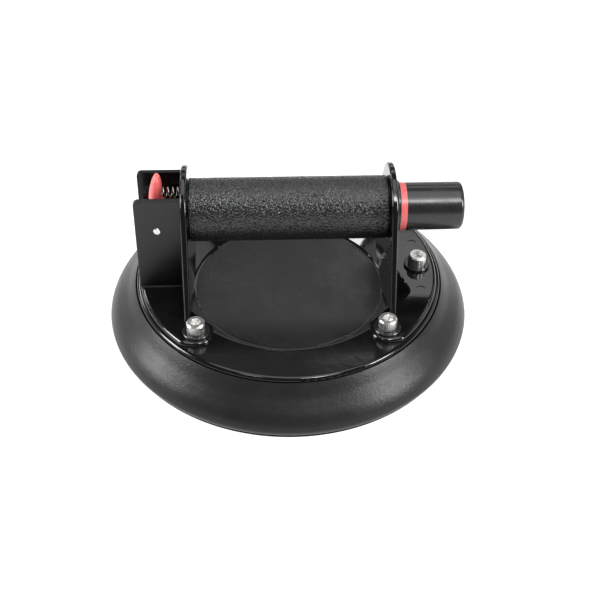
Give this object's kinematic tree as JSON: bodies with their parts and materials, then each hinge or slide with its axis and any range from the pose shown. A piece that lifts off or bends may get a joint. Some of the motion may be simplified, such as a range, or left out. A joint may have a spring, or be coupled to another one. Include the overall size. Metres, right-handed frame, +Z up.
{
  "type": "floor tile suction lifter",
  "caption": "Hand vacuum lifter for tiles and glass: round rubber cup, cast foot, tubular grip with built-in push pump, red vacuum ring and red release lever",
  "frame": {"origin": "centre of the rubber cup on the floor plane it stands on", "axes": "+Z up, +X from the release lever towards the plunger knob, +Y to the rear"},
  "size_m": [0.2034, 0.2034, 0.0952],
  "materials": {
    "pad_rubber": "satin moulded",
    "plated_steel": "zinc plated",
    "gasket_rubber": "matte",
    "filter_felt": "felt",
    "black_plastic": "matte",
    "gloss_black": "gloss paint",
    "disc_grey": "satin",
    "bright_steel": "bright",
    "grip_rubber": "pebbled matte",
    "tube_steel": "satin",
    "gland_black": "gloss",
    "brass": "satin",
    "spring_steel": "bright",
    "knob_black": "satin",
    "signal_red": "gloss",
    "hose_rubber": "satin",
    "lever_red": "gloss"
  },
  "bodies": {
    "base": {"rubber_pad": "pad_rubber", "pad_insert_plate": "plated_steel", "plate_gasket": "gasket_rubber", "port_filter": "filter_felt", "filter_retainer": "black_plastic", "base_plate": "gloss_black", "centre_disc": "disc_grey", "cap_screws": "bright_steel", "screw_washers": "gland_black", "right_upright": "gloss_black", "left_upright": "gloss_black", "right_gusset": "gloss_black", "lever_cheek_front": "gloss_black", "lever_cheek_rear": "gloss_black", "grip_sleeve": "grip_rubber", "pump_barrel": "gland_black", "gland_nut": "gland_black", "gland_wiper": "gasket_rubber", "end_plug": "tube_steel", "end_plug_oring": "gasket_rubber", "plug_locknut": "bright_steel", "check_cage": "brass", "check_spring": "spring_steel", "return_spring": "spring_steel", "hose_elbow": "brass", "vacuum_hose": "hose_rubber", "port_barb": "brass", "valve_body": "brass", "pivot_pin": "bright_steel", "lever_spring": "spring_steel"},
    "plunger": {"plunger_knob": "knob_black", "indicator_ring": "signal_red", "plunger_tube": "tube_steel", "piston_head": "black_plastic", "piston_cup_seal": "gasket_rubber", "piston_screw": "bright_steel"},
    "lever": {"release_lever": "lever_red"},
    "valve": {"valve_stem": "bright_steel", "valve_seal": "gasket_rubber", "stem_nut": "bright_steel"},
    "inlet_ball": {"check_ball": "bright_steel"}
  },
  "joints": [
    {"name": "pump_stroke", "type": "slide", "parent": "base", "child": "plunger", "axis": [-1, 0, 0], "range_m": [0, 0.028], "stiffness_N_per_m": 500, "springref_m": -0.02, "deforming": ["return_spring"]},
    {"name": "lever_turn", "type": "hinge", "parent": "base", "child": "lever", "pos_m": [-0.0698, 0, 0.0686], "axis": [0, 1, 0], "range_deg": [0, 13], "stiffness_Nm_per_rad": 0.4, "springref_deg": -5.73, "deforming": ["lever_spring"]},
    {"name": "valve_lift", "type": "slide", "parent": "base", "child": "valve", "axis": [0, 0, 1], "range_m": [0, 0.0024]},
    {"name": "inlet_ball_lift", "type": "slide", "parent": "base", "child": "inlet_ball", "axis": [1, 0, 0], "range_m": [0, 0.0015], "stiffness_N_per_m": 20, "springref_m": -0.001, "deforming": ["check_spring"]}
  ],
  "couplings": [
    {"joint": "valve_lift", "follows": "lever_turn", "m_per_rad": 0.01}
  ]
}
